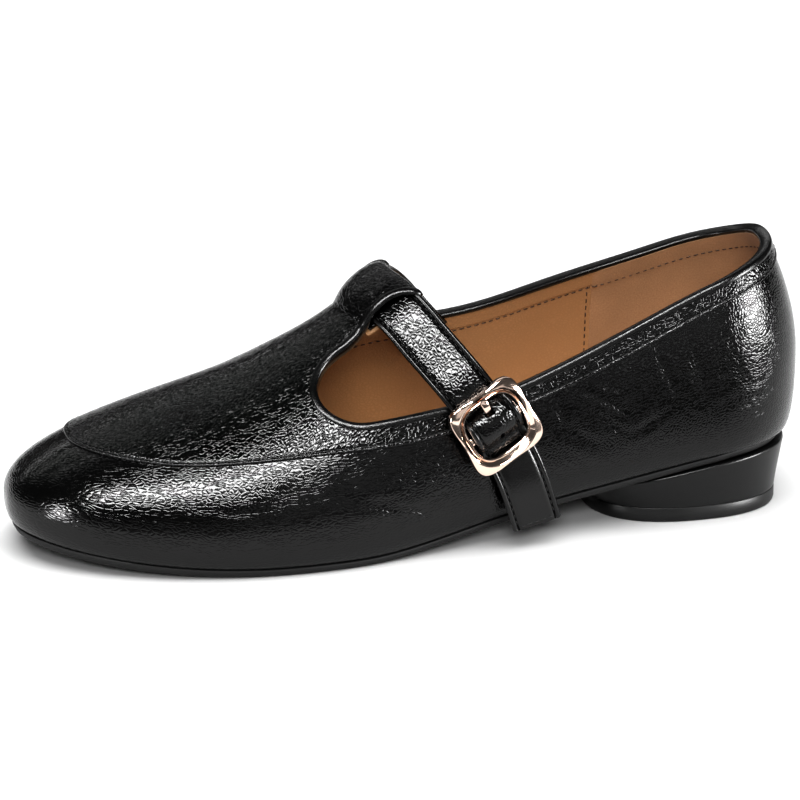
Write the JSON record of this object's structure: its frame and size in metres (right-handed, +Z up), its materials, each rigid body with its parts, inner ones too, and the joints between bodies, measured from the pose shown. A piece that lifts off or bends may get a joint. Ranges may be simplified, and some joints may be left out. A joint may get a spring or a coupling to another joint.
{
  "type": "casual shoe",
  "caption": "Black leather T-strap flat for the left foot, with an apron toe, a buckled instep strap through a folded loop, a thin sole and a low rounded block heel.",
  "frame": {"origin": "on the floor, under the middle of the shoe's box", "axes": "+X from the heel to the toe, +Y to the wearer's left, which is the outer side with the buckle, +Z up"},
  "size_m": [0.2466, 0.0824, 0.0848],
  "materials": {
    "upper_leather": "black fine-grained leather with a polished finish",
    "lining_leather": "smooth tan lining leather, matt",
    "sole_rubber": "matt black moulded sole",
    "heel_plastic": "satin black lacquer",
    "lift_rubber": "matt black rubber",
    "buckle_metal": "polished rose-gold plating"
  },
  "bodies": {
    "root": {"outsole": "sole_rubber", "heel_block": "heel_plastic", "top_lift": "lift_rubber", "insole": "lining_leather", "upper": "upper_leather", "strap": "upper_leather", "buckle_frame": "buckle_metal", "buckle_prong": "buckle_metal"}
  },
  "joints": []
}
